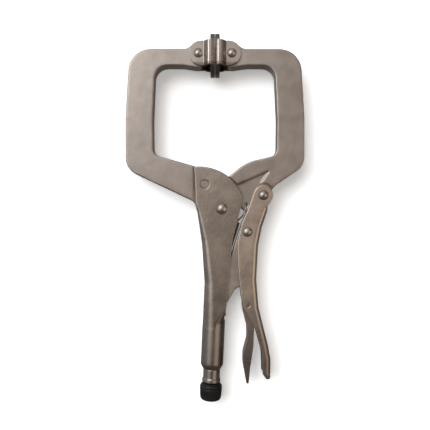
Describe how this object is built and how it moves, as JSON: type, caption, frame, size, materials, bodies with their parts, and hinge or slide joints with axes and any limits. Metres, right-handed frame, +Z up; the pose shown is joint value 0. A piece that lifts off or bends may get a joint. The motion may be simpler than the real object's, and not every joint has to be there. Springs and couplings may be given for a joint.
{
  "type": "locking pliers",
  "caption": "Locking C-clamp pliers with swivel pads, a toggle lever, a release lever and a knurled adjusting screw.",
  "frame": {"origin": "centre of the closed tool's box in X and Y, on the bench plane that the pads' side edges lie on", "axes": "+Y from the knob to the jaws, +X to the lever side, +Z up from the bench, normal to the tool's broad side"},
  "size_m": [0.1352, 0.2787, 0.0254],
  "materials": {
    "forged_steel": "satin nickel plate over a forged surface",
    "pressed_steel": "satin nickel plate over pressed sheet",
    "pad_steel": "bright nickel plate, lightly worn",
    "rivet_steel": "bright nickel plate, domed heads",
    "link_steel": "dull nickel plate",
    "spring_steel": "drawn spring wire",
    "screw_steel": "machined thread, zinc bright",
    "black_knob": "black phosphate, knurled"
  },
  "bodies": {
    "handle": {"fixed_handle": "pressed_steel", "fixed_jaw": "forged_steel", "tang_rivet": "rivet_steel", "main_rivet": "rivet_steel", "threaded_bush": "pressed_steel", "tension_spring": "spring_steel", "fixed_pad_rivet": "rivet_steel"},
    "swing_jaw": {"moving_jaw": "forged_steel", "lever_rivet": "rivet_steel", "moving_pad_rivet": "rivet_steel"},
    "lever_body": {"lever": "pressed_steel", "link_rivet": "rivet_steel", "release_pin": "rivet_steel"},
    "link_body": {"toggle_link": "link_steel"},
    "release_body": {"release_lever": "pressed_steel"},
    "left_pad": {"fixed_pad": "pad_steel"},
    "right_pad": {"moving_pad": "pad_steel"},
    "screw_body": {"adjusting_screw": "screw_steel"},
    "knob_body": {"screw_knob": "black_knob"}
  },
  "joints": [
    {"name": "jaw_open", "type": "hinge", "parent": "handle", "child": "swing_jaw", "pos_m": [0.0052, 0.00687, 0.0127], "axis": [0, 0, -1], "range_deg": [0, 40], "deforming": ["tension_spring"]},
    {"name": "lever_swing", "type": "hinge", "parent": "swing_jaw", "child": "lever_body", "pos_m": [0.0364, 0.01717, 0.0127], "axis": [0, 0, 1], "range_deg": [0, 101]},
    {"name": "link_swing", "type": "hinge", "parent": "lever_body", "child": "link_body", "pos_m": [0.0244, -0.01053, 0.0127], "axis": [0, 0, -1], "range_deg": [0, 96.5]},
    {"name": "left_pad_swivel", "type": "hinge", "parent": "handle", "child": "left_pad", "pos_m": [-0.0126, 0.12387, 0.0127], "axis": [0, 0, -1], "range_deg": [0, 20.1]},
    {"name": "right_pad_swivel", "type": "hinge", "parent": "swing_jaw", "child": "right_pad", "pos_m": [0.0126, 0.12387, 0.0127], "axis": [0, 0, 1], "range_deg": [0, 20.1]},
    {"name": "release_press", "type": "hinge", "parent": "lever_body", "child": "release_body", "pos_m": [0.0247, -0.06573, 0.0127], "axis": [0, 0, 1], "range_deg": [0, 8]},
    {"name": "screw_feed", "type": "slide", "parent": "handle", "child": "screw_body", "axis": [-0.0436, -0.999, 0], "range_m": [0, 0.02]},
    {"name": "knob_turn", "type": "hinge", "parent": "screw_body", "child": "knob_body", "pos_m": [-0.00297, -0.12582, 0.0127], "axis": [-0.0436, -0.999, 0], "range_deg": [0, 5780]}
  ],
  "couplings": [
    {"joint": "lever_swing", "follows": "jaw_open", "ratio": 2.52},
    {"joint": "link_swing", "follows": "jaw_open", "ratio": 2.4},
    {"joint": "left_pad_swivel", "follows": "jaw_open", "ratio": 0.5},
    {"joint": "right_pad_swivel", "follows": "jaw_open", "ratio": 0.5},
    {"joint": "knob_turn", "follows": "screw_feed", "rad_per_m": 5026.5}
  ]
}
